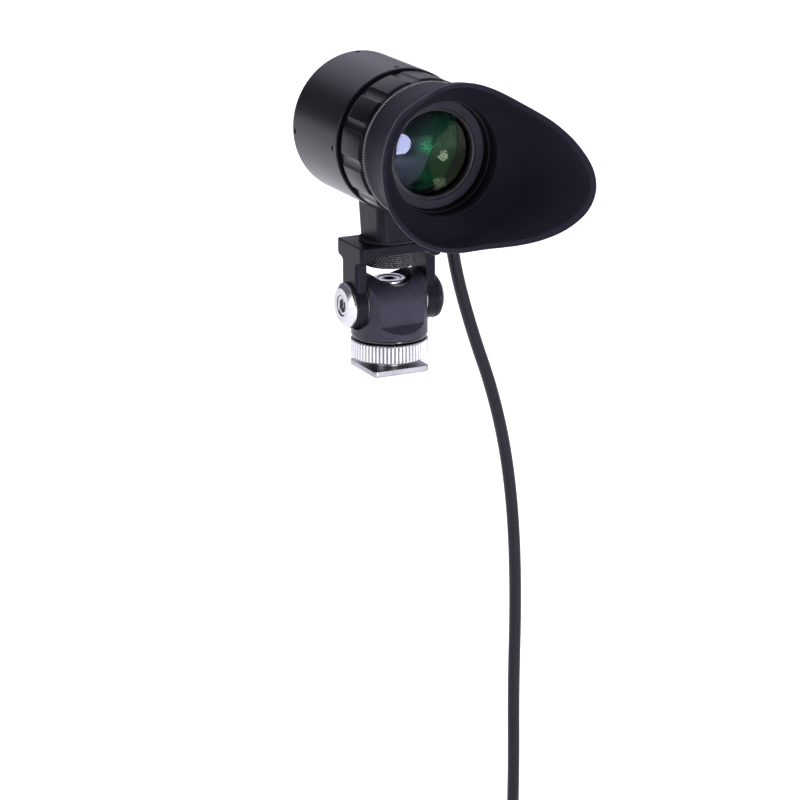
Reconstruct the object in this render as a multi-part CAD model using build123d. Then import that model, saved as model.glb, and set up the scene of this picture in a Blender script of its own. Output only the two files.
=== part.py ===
from build123d import *
import os
from math import atan2, cos, pi, radians, sin, sqrt, tan

# Electronic viewfinder on a tilt and swivel shoe bracket.
# Frame: origin at the centre of the shoe foot's underside, +Z up, the eyepiece looks
# towards -Y, and +X is to the right of someone who stands in front of the eyepiece.
# Every length is in millimetres. Screw threads are drawn as plain cylinders.

# Clearances that several pieces share
running_gap = 0.05      # radial, shaft in bore and thread in thread
seat_gap = 0.02         # radial, pieces fixed to each other
cut_over = 1.0          # overrun of every cutting tool

# Height of the tilt axis above the foot's underside
pivot_z = 21.56

# Shoe foot: flat plate for an accessory shoe, neck and threaded post in one piece
foot_width = 18.6
foot_depth = 18.0
foot_thick = 2.0
foot_corner = 1.2
foot_edge = 0.4
neck_radius = 5.9
lip_room = 1.8          # height left for the rails of the shoe
post_radius = 5.0

# Pressure washer and serrated lock wheel that clamp the foot in the shoe
press_radius = 9.0
press_thick = 0.5
wheel_reach = 0.15      # past the swivel block
wheel_height = 5.8
wheel_travel = 0.4
wheel_serrations = 62
serration_depth = 0.38
serration_shares = ((0.0, 0.0), (0.4, 0.0), (0.7, 1.0))     # of the step, of the depth
wheel_chamfer = 0.5

# Gloss disc under the swivel block
disc_inset = 0.6        # inside the swivel block
disc_thick = 0.5

# Swivel block
block_radius = 11.7
block_flat = 9.1        # half depth between the milled faces, and radius of the rounded top
ear_half = 9.7          # half width between the side faces
pocket_gap = 1.0        # radial, round the yoke's bosses
ledge_drop = 5.9        # tilt axis to the ledge, at the milled face
ledge_fall = 2.3        # fall of the ledge from the milled face to the outside
spot_gap = 1.4          # radial, round the pan washer
block_foot_chamfer = 0.5

# Pan bolt down the middle of the block, and its washer
bolt_top = 7.12         # top of the head above the tilt axis
bolt_head_radius = 5.3
bolt_head_thick = 1.4
bolt_head_bevel = 0.35
bolt_shank_radius = 2.0
bolt_socket_across = 3.0
bolt_socket_deep = 1.0
bolt_dish_radius = 3.8
bolt_dish_deep = 0.3
bolt_depth = 5.0        # shank left above the foot plate's underside
pan_washer_reach = 0.3  # past the bolt's head
pan_washer_thick = 0.7

# Tilt pivot: a shoulder screw with a domed head on each side
screw_rim_thick = 0.85
screw_dome_thick = 1.2
screw_dome_width = 1.6
screw_dish_radius = 3.2
screw_dish_deep = 0.35
screw_socket_across = 4.0
screw_socket_deep = 1.2
shoulder_radius = 3.0
screw_thread_radius = 2.0
screw_tip = 4.6         # inner end of each screw from the middle
outer_washer_thick = 0.5
outer_washer_reach = 0.1        # past the boss
friction_washer_thick = 0.3
friction_washer_inset = 0.4     # inside the boss

# Yoke
arm_thick = 3.46
yoke_top_rise = 19.15   # top of the plate above the tilt axis
plate_thick = 2.85
plate_front = 8.8       # of the beam, from the tilt axis
plate_back = 8.6
arm_half_depth = 5.2
boss_radius = 6.9
shoulder_rise = 15.6    # foot of the beam above the tilt axis
waist_rise = 12.6       # where the arm reaches its narrow depth
arch_fillet = 1.8
plan_fillet = 1.2
yoke_edge = 0.3

# Thumb wheel with its tripod-thread stud, and the pad under the post
thumb_radius = 7.75
thumb_height = 4.86
thumb_chamfer = 0.4
stud_radius = 3.175
stud_reach = 4.6        # stud above the pad
pad_radius = 9.2
pad_thick = 0.8

# Post between the yoke and the tube
post_height = 9.57      # from the pad to the tube's underside
post_half_width = 6.8
post_half_depth = 7.9
post_forward = 0.3      # middle of the post in front of the stud
post_flare = 0.5        # growth of each side up to the tube
post_fillet = 2.8
post_hole_deep = 5.0
post_screw_spots = (-2.4, 3.4)
post_screw_radius = 1.25
post_screw_bite = 3.6
post_screw_head_radius = 2.1
post_screw_head_thick = 1.2

# Housing tube and rear cap
tube_radius = 21.72
tube_wall = 1.42
tube_front = -9.46
tube_back = 21.8
tube_chamfer = 0.35
cap_depth = 3.3
cap_inset = 0.3
cap_wall = 1.6
cap_skirt = 2.6
grub_radius = 0.8
grub_turn = 92.0        # degrees from +X of the top screw of each row
rear_grub_y = 19.8
front_grub_y = -7.0
grub_sink = 0.25
grub_length = 2.2

# Front flange with the hub that the focus ring turns on
flange_back = -5.0
flange_front = -11.9
hub_wall = 1.6
hub_front = -22.2

# Focus ring
ring_back = -12.0
ring_front = -24.5
ring_step = 0.52        # below the tube's surface
ring_wall = 2.6
ring_flutes = 12
ring_flute_turn = 98.5
flute_cutter_radius = 4.2
flute_deep = 0.55
ring_front_chamfer = 0.8
ring_back_chamfer = 0.3
lip_thick = 1.9
snap_thick = 0.8
snap_y = -20.0
snap_sink = 0.7         # into the hub
snap_rise = 0.6         # into the ring
snap_opening = 24.0     # degrees left open

# Lens barrel, which slides in the hub and is moved by the ring's lip thread
barrel_back = -3.5
barrel_shoulder = -19.4
barrel_wall = 3.1       # round the lenses, at the thread
thread_step = 0.6       # from the hub's bore down to the thread
barrel_front = -30.3
focus_travel = 3.0
lens_stop_width = 1.5
guide_radius = 0.95
guide_y = -9.8
guide_deep = 0.8

# Lenses and the rings that hold them
field_lens_back = -14.0
field_lens_edge = 2.2
field_lens_crown = 1.1
lens_spacer_wall = 1.1
eye_lens_edge = 3.6
eye_lens_crown = 1.3
retainer_step = 0.41    # wider than the lens
retainer_width = 1.11
retainer_thick = 1.8
retainer_bevel = 0.5
retainer_notch = 1.4

# Beaded ring and the ring that the eyecup turns on
bead_step = 0.46        # below the focus ring's surface
bead_thick = 2.0
bead_gap = 0.2
mount_wall = 1.9
mount_lip_reach = 0.7
mount_lip_thick = 1.4
mount_length = 6.3
mount_gap = 0.3

# Rubber eyecup, turned about the eyepiece axis and then trimmed to its rim line
cup_neck_wall = 1.4
cup_flare = 4.6         # from the neck to the rim
cup_wall = 1.5
cup_throat_step = 1.0   # below the mount's outside
cup_throat_length = 4.6
cup_shoulder = 0.25     # radial, where the bowl meets the throat
cup_depth = 23.0        # from the back to the rim over most of the turn
cup_reach = 32.2        # how far the side lobe reaches past the plateau
lobe_turn = -5.4        # degrees from +X to the lobe
section_turns = (0.0, 25.0, 45.0, 62.0, 80.0, 100.0, 130.0, 180.0)      # degrees from the lobe
section_shares = (0.966, 0.931, 0.911, 0.901, 0.949, 0.997, 1.026, 1.019)       # of the rim radius
rim_line_shares = (     # of the rim radius, of the reach
    (-1.06, -0.62), (-0.905, -0.243), (-0.723, -0.022), (-0.347, 0.026), (0.0, 0.071),
    (0.247, 0.17), (0.464, 0.443), (0.668, 0.651), (0.835, 0.842), (0.959, 0.97), (1.016, 1.0),
    (1.08, 1.02))
cup_neck_steps = (      # share of the flare, of the way to the plateau
    (0.0, 0.0), (0.0, 0.2), (0.12, 0.4), (0.36, 0.62), (0.88, 0.86), (1.0, 1.0))
cup_lobe_steps = ((1.143, 1.2), (1.284, 1.5), (1.361, 1.9), (1.334, 2.35), (1.236, 2.8))
cup_bowl_steps = ((0.0, 0.0), (0.48, 0.32), (0.86, 0.68), (1.0, 1.0))

# Display inside the tube
frame_back = 7.8
frame_thick = 2.0
window_width = 16.0
window_height = 12.0
panel_width = 19.0
panel_height = 15.0
panel_thick = 1.2
light_thick = 2.0
board_gap = 2.0         # radial, to the tube's wall
board_front = 13.8
board_thick = 1.2
chip_side = 7.0
chip_thick = 1.0
chip_spots = ((-5.5, 3.5), (5.5, 3.5), (0.0, -6.0))
pillar_radius = 1.2
pillar_inset = 2.8
pillar_turns = (90.0, 240.0, 300.0)
ribbon_width = 9.0
ribbon_thick = 0.3
ribbon_rise = 2.6
baffle_front = -2.5
baffle_inset = 1.75     # inside the lens barrel's radius
baffle_taper = 2.6
baffle_wall = 0.8
inner_fit = 0.1         # radial gap round the discs in the tube

# Cable gland, cord and plug
cord_radius = 2.0
bend_share = 0.45       # of the shorter run, used up by a bend in the cord
gland_turn = -45.0      # degrees from +X, seen from the eyepiece
gland_y = 12.3
gland_collar_radius = 4.0
gland_collar_thick = 1.2
gland_body_radius = 3.2
gland_flange_radius = 4.3
gland_flange_thick = 1.3
gland_length = 5.5      # outside the tube
gland_tip_radius = 2.7
tail_radius = 1.2
connector_inset = 6.3   # inside the board's edge
connector_size = 5.0
cord_straight = 5.0     # first run, straight out of the gland
cord_hang = [           # the rest of the route
    (25.25, 12.4, 45.60),
    (26.80, 12.7, 40.50),
    (27.75, 13.2, 32.70),
    (30.90, 14.0, 19.20),
    (36.75, 15.1, 1.40),
    (43.90, 16.3, -17.00),
    (49.60, 17.4, -38.50),
    (53.00, 18.1, -63.00),
    (54.40, 18.9, -91.00),
    (54.10, 19.5, -121.00),
    (54.60, 19.7, -151.00),
    (54.30, 20.1, -178.00),
    (54.50, 20.3, -198.00),
]
boot_length = 11.0
boot_big_radius = 3.4
boot_tip_radius = 2.6
plug_width = 19.0
plug_depth = 9.6
plug_length = 22.0
plug_corner = 2.2
plug_top_length = 5.0
plug_top_share = 0.62
shell_width = 13.9
shell_depth = 4.45
shell_length = 11.7
shell_wall = 0.3
shell_corner = 0.5
shell_narrow = 2.2
tongue_width = 9.0
tongue_depth = 1.4
tongue_length = 9.0

# Heights and places that follow from the sizes above
wheel_radius = block_radius + wheel_reach
disc_radius = block_radius - disc_inset
press_z = foot_thick + lip_room
wheel_z = press_z + press_thick
disc_z = wheel_z + wheel_height + wheel_travel + running_gap
block_z = disc_z + disc_thick
yoke_top = pivot_z + yoke_top_rise
plate_z = yoke_top - plate_thick
arm_inner = ear_half + friction_washer_thick
arm_outer = arm_inner + arm_thick
pad_top = yoke_top + pad_thick
axis_z = pad_top + post_height + tube_radius
pocket_radius = boss_radius + pocket_gap
pan_washer_radius = bolt_head_radius + pan_washer_reach
spot_radius = pan_washer_radius + spot_gap
screw_head_radius = boss_radius
screw_face_radius = screw_head_radius - screw_dome_width
outer_washer_radius = boss_radius + outer_washer_reach
friction_washer_radius = boss_radius - friction_washer_inset
tube_bore = tube_radius - tube_wall
ring_radius = tube_radius - ring_step
hub_radius = ring_radius - ring_wall
hub_bore = hub_radius - hub_wall
snap_inner = hub_radius - snap_sink
snap_outer = hub_radius + snap_rise
barrel_radius = hub_bore - running_gap
thread_radius = hub_bore - thread_step
lens_radius = thread_radius - barrel_wall
lens_stop_radius = lens_radius - lens_stop_width
retainer_radius = lens_radius + retainer_step
retainer_bore = retainer_radius - retainer_width
bead_radius = ring_radius - bead_step
mount_outer = thread_radius + mount_wall
mount_lip = mount_outer + mount_lip_reach
cup_neck_radius = mount_lip + cup_neck_wall
cup_rim_radius = cup_neck_radius + cup_flare
cup_throat_radius = mount_outer - cup_throat_step
board_radius = tube_bore - board_gap
pillar_circle = board_radius - pillar_inset
connector_reach = board_radius - connector_inset
baffle_front_radius = barrel_radius - baffle_inset
baffle_back_radius = baffle_front_radius - baffle_taper
bolt_seat = pivot_z + bolt_top - bolt_head_thick
spot_floor = bolt_seat - pan_washer_thick
ring_lip_back = ring_front + lip_thick
bead_back = ring_front - bead_gap
mount_back = bead_back - bead_thick - mount_gap
cup_back = mount_back
cup_plateau = cup_back - cup_depth
mount_front = mount_back - mount_length
field_lens_front = field_lens_back - field_lens_edge
eye_lens_back = barrel_front + retainer_thick + eye_lens_edge
cap_outer = tube_back - cap_inset
cap_inner = cap_outer - cap_depth
frame_front = frame_back - frame_thick
gland_out = (cos(radians(gland_turn)), 0, sin(radians(gland_turn)))
gland_tip = tube_radius + gland_length
cord_points = [
    (reach * gland_out[0], gland_y, axis_z + reach * gland_out[2])
    for reach in (gland_tip, gland_tip + cord_straight)] + cord_hang


def along_x(radius, x_from, x_to, y=0, z=0):
    """Solid cylinder on an axis parallel to X."""
    length = abs(x_to - x_from)
    return Pos((x_from + x_to) / 2, y, z) * Rot(0, 90, 0) * Cylinder(radius, length)


def along_y(radius, y_from, y_to, x=0, z=axis_z):
    """Solid cylinder on an axis parallel to Y, on the eyepiece axis unless told."""
    length = abs(y_to - y_from)
    return Pos(x, (y_from + y_to) / 2, z) * Rot(90, 0, 0) * Cylinder(radius, length)


def along_z(radius, z_from, z_to, x=0, y=0):
    """Solid cylinder on an axis parallel to Z."""
    return Pos(x, y, (z_from + z_to) / 2) * Cylinder(radius, abs(z_to - z_from))


def radial(radius, r_from, r_to, turn, y):
    """Solid cylinder square to the eyepiece axis, at a turn from +X."""
    out = Vector(cos(radians(turn)), 0, sin(radians(turn)))
    start = Vector(0, y, axis_z) + out * r_from
    face = Plane(origin=start, z_dir=out)
    return extrude(face * Circle(radius), r_to - r_from)


def turned_about_axis(points):
    """Revolve a closed outline of (radius, y) pairs round the eyepiece axis."""
    outline = Polyline(*[(r, y, axis_z) for r, y in points], close=True)
    return revolve(make_face(outline), axis=Axis((0, 0, axis_z), (0, 1, 0)))


def turned_about_z(points):
    """Revolve a closed outline of (radius, z) pairs round the Z axis."""
    outline = Polyline(*[(r, 0, z) for r, z in points], close=True)
    return revolve(make_face(outline), axis=Axis.Z)


def turned_about_pivot(points):
    """Revolve a closed outline of (x, radius) pairs round the tilt axis."""
    outline = Polyline(*[(x, 0, pivot_z + r) for x, r in points], close=True)
    return revolve(make_face(outline), axis=Axis((0, 0, pivot_z), (1, 0, 0)))


def block_of(x_size, y_size, z_size, x=0, y=0, z=0):
    """Box centred on a point."""
    return Pos(x, y, z) * Box(x_size, y_size, z_size)


def make_shoe_foot():
    """Foot plate, neck and the post that the wheel and the block run on."""
    plate = extrude(RectangleRounded(foot_width, foot_depth, foot_corner), foot_thick)
    plate = chamfer(plate.faces().sort_by(Axis.Z)[0].edges(), foot_edge)
    neck = along_z(neck_radius, foot_thick, press_z - running_gap)
    post = along_z(post_radius, foot_thick, disc_z)
    bore = along_z(bolt_shank_radius + seat_gap, bolt_depth - running_gap, disc_z + cut_over)
    return plate + neck + post - bore


def make_pressure_washer():
    ring = turned_about_z([
        (post_radius + running_gap, press_z), (press_radius, press_z),
        (press_radius, wheel_z), (post_radius + running_gap, wheel_z)])
    return ring


def make_lock_wheel():
    """Wheel with straight V serrations between two plain chamfers."""
    top = wheel_z + wheel_height
    step = 360 / wheel_serrations
    points = []
    for tooth in range(wheel_serrations):
        for along, deep in serration_shares:
            turn = radians((tooth + along) * step)
            radius = wheel_radius - deep * serration_depth
            points.append((radius * cos(turn), radius * sin(turn)))
    toothed = Pos(0, 0, wheel_z) * extrude(make_face(Polyline(*points, close=True)), wheel_height)
    blank = turned_about_z([
        (post_radius + running_gap, wheel_z), (wheel_radius - wheel_chamfer, wheel_z),
        (wheel_radius, wheel_z + wheel_chamfer), (wheel_radius, top - wheel_chamfer),
        (wheel_radius - wheel_chamfer, top), (post_radius + running_gap, top)])
    return toothed & blank


def make_base_disc():
    return turned_about_z([
        (bolt_shank_radius + running_gap, disc_z), (disc_radius, disc_z),
        (disc_radius, block_z), (bolt_shank_radius + running_gap, block_z)])


def make_pivot_block():
    """Round block with milled faces, a rounded top, side pockets and a bolt seat."""
    top = pivot_z + block_flat
    body = along_z(block_radius, block_z, top)
    body = chamfer(body.edges().filter_by(GeomType.CIRCLE).sort_by(Axis.Z)[0], block_foot_chamfer)
    ledge = pivot_z - ledge_drop
    skirt_out = block_radius + cut_over
    slope = ledge_fall / (block_radius - block_flat)
    low = ledge - slope * (skirt_out - block_flat)
    side = Polyline(
        (0, -skirt_out, block_z), (0, skirt_out, block_z), (0, skirt_out, low),
        (0, block_flat, ledge), (0, block_flat, pivot_z))
    crown = ThreePointArc((0, block_flat, pivot_z), (0, 0, top), (0, -block_flat, pivot_z))
    close = Polyline(
        (0, -block_flat, pivot_z), (0, -block_flat, ledge), (0, -skirt_out, low),
        (0, -skirt_out, block_z))
    form = extrude(make_face(side + crown + close), block_radius + cut_over, both=True)
    body = body & form
    for hand in (-1, 1):
        body -= along_x(pocket_radius, hand * ear_half, hand * (block_radius + cut_over), z=pivot_z)
        above = top + cut_over - pivot_z
        reach = block_radius + cut_over - ear_half
        body -= block_of(reach, 2 * pocket_radius, above,
                         hand * (ear_half + reach / 2), 0, pivot_z + above / 2)
        body -= along_x(screw_thread_radius + seat_gap, hand * (screw_tip - running_gap),
                        hand * block_radius, z=pivot_z)
    body -= along_z(spot_radius, spot_floor, top + cut_over)
    body -= along_z(bolt_shank_radius + running_gap, block_z - cut_over, top)
    return body


def hex_socket(across, deep, top_plane):
    """Cutter for a hexagon socket, sunk from a plane against its normal."""
    shape = top_plane * RegularPolygon(across / sqrt(3), 6)
    return extrude(shape, -deep)


def make_pan_bolt():
    top = pivot_z + bolt_top
    head = turned_about_z([
        (0, bolt_seat), (bolt_head_radius - bolt_head_bevel, bolt_seat),
        (bolt_head_radius, bolt_seat + bolt_head_bevel), (bolt_head_radius, top - bolt_head_bevel),
        (bolt_head_radius - bolt_head_bevel, top), (bolt_dish_radius, top),
        (bolt_dish_radius - bolt_dish_deep, top - bolt_dish_deep), (0, top - bolt_dish_deep)])
    shank = along_z(bolt_shank_radius, bolt_depth, bolt_seat)
    socket_plane = Plane(origin=(0, 0, top - bolt_dish_deep), z_dir=(0, 0, 1))
    return head + shank - hex_socket(bolt_socket_across, bolt_socket_deep, socket_plane)


def make_pan_washer():
    return turned_about_z([
        (bolt_shank_radius + running_gap, spot_floor), (pan_washer_radius, spot_floor),
        (pan_washer_radius, bolt_seat), (bolt_shank_radius + running_gap, bolt_seat)])


def make_pivot_screw(hand):
    """Shoulder screw with a domed head, hexagon socket and threaded tip."""
    inner = arm_outer + outer_washer_thick
    rim = inner + screw_rim_thick
    face = rim + screw_dome_thick
    dish = face - screw_dish_deep
    outline = [
        (screw_tip, 0), (screw_tip, screw_thread_radius), (ear_half, screw_thread_radius),
        (ear_half, shoulder_radius), (inner, shoulder_radius), (inner, screw_head_radius),
        (rim, screw_head_radius), (face, screw_face_radius), (face, screw_dish_radius),
        (dish, screw_dish_radius - screw_dish_deep), (dish, 0)]
    screw = turned_about_pivot([(hand * x, r) for x, r in outline])
    socket_plane = Plane(origin=(hand * dish, 0, pivot_z), z_dir=(hand, 0, 0))
    return screw - hex_socket(screw_socket_across, screw_socket_deep, socket_plane)


def pair_of_washers(x_from, x_to, radius):
    """A washer on each side of the block, round the screws' shoulders."""
    bore = shoulder_radius + running_gap
    rings = []
    for hand in (-1, 1):
        near = hand * x_from
        far = hand * x_to
        rings.append(turned_about_pivot([(near, bore), (far, bore), (far, radius), (near, radius)]))
    return Compound(children=rings)


def make_yoke():
    """Side outline of the arms and beam, pulled across, with the window cut out."""
    waist = pivot_z + waist_rise
    beam = pivot_z + shoulder_rise
    rise_to_boss = sqrt(boss_radius ** 2 - arm_half_depth ** 2)
    down = (0, 0, -1)
    lines = [
        Line((0, plate_back, yoke_top), (0, -plate_front, yoke_top)),
        Line((0, -plate_front, yoke_top), (0, -plate_front, beam)),
        Spline((0, -plate_front, beam), (0, -arm_half_depth, waist), tangents=[down, down]),
        Line((0, -arm_half_depth, waist), (0, -arm_half_depth, pivot_z + rise_to_boss)),
        ThreePointArc((0, -arm_half_depth, pivot_z + rise_to_boss), (0, 0, pivot_z - boss_radius),
                      (0, arm_half_depth, pivot_z + rise_to_boss)),
        Line((0, arm_half_depth, pivot_z + rise_to_boss), (0, arm_half_depth, waist)),
        Spline((0, plate_back, beam), (0, arm_half_depth, waist), tangents=[down, down]),
        Line((0, plate_back, beam), (0, plate_back, yoke_top)),
    ]
    body = extrude(make_face(Curve() + lines), arm_outer, both=True)
    window_low = pivot_z - boss_radius - cut_over
    window_tall = plate_z - window_low
    window = block_of(2 * arm_inner, 2 * (plate_front + cut_over), window_tall,
                      0, 0, window_low + window_tall / 2)
    window = fillet(window.edges().filter_by(Axis.Y).sort_by(Axis.Z)[2:], arch_fillet)
    body -= window
    corners = body.edges().filter_by(Axis.Z).filter_by(lambda e: abs(e.center().X) > arm_inner
                                                       and e.center().Z > beam)
    body = fillet(corners, plan_fillet)
    top_edges = body.faces().filter_by(Axis.Z).sort_by(Axis.Z)[-1].edges()
    body = chamfer(top_edges, yoke_edge)
    across = arm_outer + cut_over
    body -= along_x(shoulder_radius + running_gap, -across, across, z=pivot_z)
    body -= along_z(stud_radius + 2 * running_gap, plate_z - cut_over, yoke_top + cut_over)
    return body


def make_thumb_wheel():
    low = plate_z - thumb_height
    return turned_about_z([
        (stud_radius + seat_gap, low), (thumb_radius - thumb_chamfer, low),
        (thumb_radius, low + thumb_chamfer), (thumb_radius, plate_z - thumb_chamfer),
        (thumb_radius - thumb_chamfer, plate_z), (stud_radius + seat_gap, plate_z)])


def make_mount_stud():
    return along_z(stud_radius, plate_z - thumb_height, pad_top + stud_reach)


def make_rubber_pad():
    pad = along_z(pad_radius, yoke_top, pad_top)
    front = plate_front - yoke_edge
    back = plate_back - yoke_edge
    pad &= block_of(2 * pad_radius, front + back, 2 * pad_thick, y=(back - front) / 2, z=pad_top)
    return pad - along_z(stud_radius + 2 * running_gap, yoke_top - cut_over, pad_top + cut_over)


def make_mount_post():
    """Flared post whose top is hollowed to the tube."""
    top = axis_z - tube_radius * cos(atan2(post_half_width + post_flare, tube_radius))
    low = Plane(origin=(0, -post_forward, pad_top)) * RectangleRounded(
        2 * post_half_width, 2 * post_half_depth, post_fillet)
    high = Plane(origin=(0, -post_forward, top)) * RectangleRounded(
        2 * (post_half_width + post_flare), 2 * (post_half_depth + post_flare), post_fillet)
    body = loft([low, high])
    body -= along_y(tube_radius + seat_gap, -tube_radius, tube_radius)
    body -= along_z(stud_radius + running_gap, pad_top - cut_over, pad_top + post_hole_deep)
    for y in post_screw_spots:
        tip = axis_z - tube_radius - post_screw_bite
        body -= along_z(post_screw_radius + seat_gap, tip - running_gap, axis_z, y=y)
    return body


def make_post_screws():
    """Two screws from inside the tube into the post."""
    screws = []
    for y in post_screw_spots:
        tip = axis_z - tube_radius - post_screw_bite
        seat = axis_z - sqrt(tube_bore ** 2 - post_screw_head_radius ** 2) + seat_gap
        shank = along_z(post_screw_radius, tip, seat, y=y)
        head = along_z(post_screw_head_radius, seat, seat + post_screw_head_thick, y=y)
        screws.append(shank + head)
    return Compound(children=screws)


def grub_turns(count):
    """Turns from +X of a row of small screws, the first at the top."""
    return [grub_turn + 90 * (place - 1) for place in range(count)]


def make_housing_tube():
    tube = turned_about_axis([
        (tube_bore, tube_front), (tube_radius - tube_chamfer, tube_front),
        (tube_radius, tube_front + tube_chamfer), (tube_radius, tube_back - tube_chamfer),
        (tube_radius - tube_chamfer, tube_back), (tube_bore, tube_back)])
    hole = grub_radius + seat_gap
    for turn in grub_turns(4):
        tube -= radial(hole, tube_bore - cut_over, tube_radius + cut_over, turn, rear_grub_y)
    for turn in grub_turns(3):
        tube -= radial(hole, tube_bore - cut_over, tube_radius + cut_over, turn, front_grub_y)
    for y in post_screw_spots:
        tube -= along_z(post_screw_radius + seat_gap, axis_z - tube_radius - cut_over,
                        axis_z - tube_bore + cut_over, y=y)
    tube -= radial(gland_body_radius + seat_gap, tube_bore - cut_over,
                   tube_radius + cut_over, gland_turn, gland_y)
    return tube


def grub_row(count, y):
    """Small headless screws through the tube wall, a little below its surface."""
    outer = tube_radius - grub_sink
    return Compound(children=[
        radial(grub_radius, outer - grub_length, outer, turn, y) for turn in grub_turns(count)])


def grub_holes(body, count, y):
    """Blind holes that take a row of the small screws."""
    floor = tube_radius - grub_sink - grub_length - running_gap
    for turn in grub_turns(count):
        body -= radial(grub_radius + seat_gap, floor, tube_radius, turn, y)
    return body


def make_rear_cap():
    """Shallow cup that closes the back of the tube."""
    fit = tube_bore - running_gap
    cap = turned_about_axis([
        (0, cap_outer - cap_wall), (fit - cap_skirt, cap_outer - cap_wall),
        (fit - cap_skirt, cap_inner), (fit, cap_inner), (fit, cap_outer), (0, cap_outer)])
    return grub_holes(cap, 4, rear_grub_y)


def make_front_flange():
    fit = tube_bore - running_gap
    flange = turned_about_axis([
        (hub_bore, flange_back), (fit, flange_back), (fit, flange_front),
        (hub_radius, flange_front), (hub_radius, hub_front), (hub_bore, hub_front)])
    groove = turned_about_axis([
        (snap_inner - seat_gap, snap_y + running_gap), (hub_radius + cut_over, snap_y + running_gap),
        (hub_radius + cut_over, snap_y - snap_thick - running_gap),
        (snap_inner - seat_gap, snap_y - snap_thick - running_gap)])
    flange -= groove
    for turn in (0, 180):
        flange -= radial(guide_radius + seat_gap, hub_bore - cut_over, fit - cut_over, turn, guide_y)
    return grub_holes(flange, 3, front_grub_y)


def make_guide_pins():
    """Two pins that keep the barrel from turning."""
    inner = barrel_radius - guide_deep + running_gap
    outer = tube_bore - running_gap - cut_over - seat_gap
    pins = [radial(guide_radius, inner, outer, turn, guide_y) for turn in (0, 180)]
    return Compound(children=pins)


def make_snap_ring():
    """Split spring ring that holds the focus ring on the hub."""
    ring = turned_about_axis([
        (snap_inner, snap_y), (snap_outer, snap_y),
        (snap_outer, snap_y - snap_thick), (snap_inner, snap_y - snap_thick)])
    half = tan(radians(snap_opening / 2)) * 2 * snap_outer
    wedge = Polyline((0, snap_y, axis_z), (half, snap_y, axis_z - 2 * snap_outer),
                     (-half, snap_y, axis_z - 2 * snap_outer), close=True)
    return ring - extrude(make_face(wedge), snap_thick + cut_over, both=True)


def make_focus_ring():
    """Grip ring with wide lands, narrow flutes and a threaded front lip."""
    bore = hub_radius + running_gap
    lip_bore = thread_radius + running_gap
    ring = turned_about_axis([
        (bore, ring_back), (ring_radius - ring_back_chamfer, ring_back),
        (ring_radius, ring_back - ring_back_chamfer), (ring_radius, ring_front + ring_front_chamfer),
        (ring_radius - ring_front_chamfer, ring_front), (lip_bore, ring_front),
        (lip_bore, ring_lip_back), (bore, ring_lip_back)])
    groove = turned_about_axis([
        (hub_radius, snap_y + running_gap), (snap_outer + 2 * running_gap, snap_y + running_gap),
        (snap_outer + 2 * running_gap, snap_y - snap_thick - running_gap),
        (hub_radius, snap_y - snap_thick - running_gap)])
    ring -= groove
    centre = ring_radius - flute_deep + flute_cutter_radius
    for flute in range(ring_flutes):
        turn = radians(ring_flute_turn + flute * 360 / ring_flutes)
        ring -= along_y(flute_cutter_radius, ring_back + cut_over, ring_front - cut_over,
                        centre * cos(turn), axis_z + centre * sin(turn))
    return ring


def make_lens_barrel():
    """Sliding barrel with two guide slots and a stepped bore for the lenses."""
    bore = lens_radius + running_gap
    seat = barrel_front + retainer_thick
    barrel = turned_about_axis([
        (lens_stop_radius, barrel_back), (barrel_radius, barrel_back),
        (barrel_radius, barrel_shoulder), (thread_radius, barrel_shoulder),
        (thread_radius, barrel_front), (retainer_radius + seat_gap, barrel_front),
        (retainer_radius + seat_gap, seat), (bore, seat),
        (bore, field_lens_back), (lens_stop_radius, field_lens_back)])
    slot_front = guide_y - guide_radius - running_gap
    slot_long = barrel_back + cut_over - slot_front
    slot_wide = 2 * (guide_radius + running_gap)
    for hand in (-1, 1):
        barrel -= block_of(2 * guide_deep, slot_long, slot_wide,
                           hand * barrel_radius, slot_front + slot_long / 2, axis_z)
    return barrel


def make_lens(back, edge, crown):
    """Biconvex lens: a cylinder with a spherical crown inside a flat seat on each face."""
    clear = lens_stop_radius - seat_gap
    ball = (clear ** 2 + crown ** 2) / (2 * crown)
    front = back - edge
    lens = along_y(lens_radius, front, back)
    lens += Pos(0, back + crown - ball, axis_z) * Sphere(ball) & along_y(clear, back, back + 2 * crown)
    lens += Pos(0, front - crown + ball, axis_z) * Sphere(ball) & along_y(clear, front, front - 2 * crown)
    return lens


def make_lens_spacer():
    inner = lens_radius - lens_spacer_wall
    return turned_about_axis([
        (inner, field_lens_front), (lens_radius, field_lens_front),
        (lens_radius, eye_lens_back), (inner, eye_lens_back)])


def make_retaining_ring():
    """Threaded ring in front of the eye lens, with two notches for a spanner."""
    back = barrel_front + retainer_thick
    ring = turned_about_axis([
        (retainer_bore, back), (retainer_radius, back), (retainer_radius, barrel_front),
        (retainer_bore + retainer_bevel, barrel_front), (retainer_bore, barrel_front + retainer_bevel)])
    for hand in (-1, 1):
        ring -= block_of(retainer_notch, retainer_notch, retainer_notch,
                         hand * retainer_bore, barrel_front, axis_z)
    return ring


def make_beaded_ring():
    front = bead_back - bead_thick
    edge = bead_gap
    return turned_about_axis([
        (thread_radius + seat_gap, bead_back), (bead_radius - edge, bead_back),
        (bead_radius, bead_back - edge), (bead_radius, front + edge),
        (bead_radius - edge, front), (thread_radius + seat_gap, front)])


def make_eyecup_mount():
    """Rigid ring with a lip, which the rubber cup snaps over and turns on."""
    return turned_about_axis([
        (thread_radius + seat_gap, mount_back), (mount_outer, mount_back),
        (mount_outer, mount_front + mount_lip_thick), (mount_lip, mount_front + mount_lip_thick),
        (mount_lip, mount_front), (thread_radius + seat_gap, mount_front)])


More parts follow.
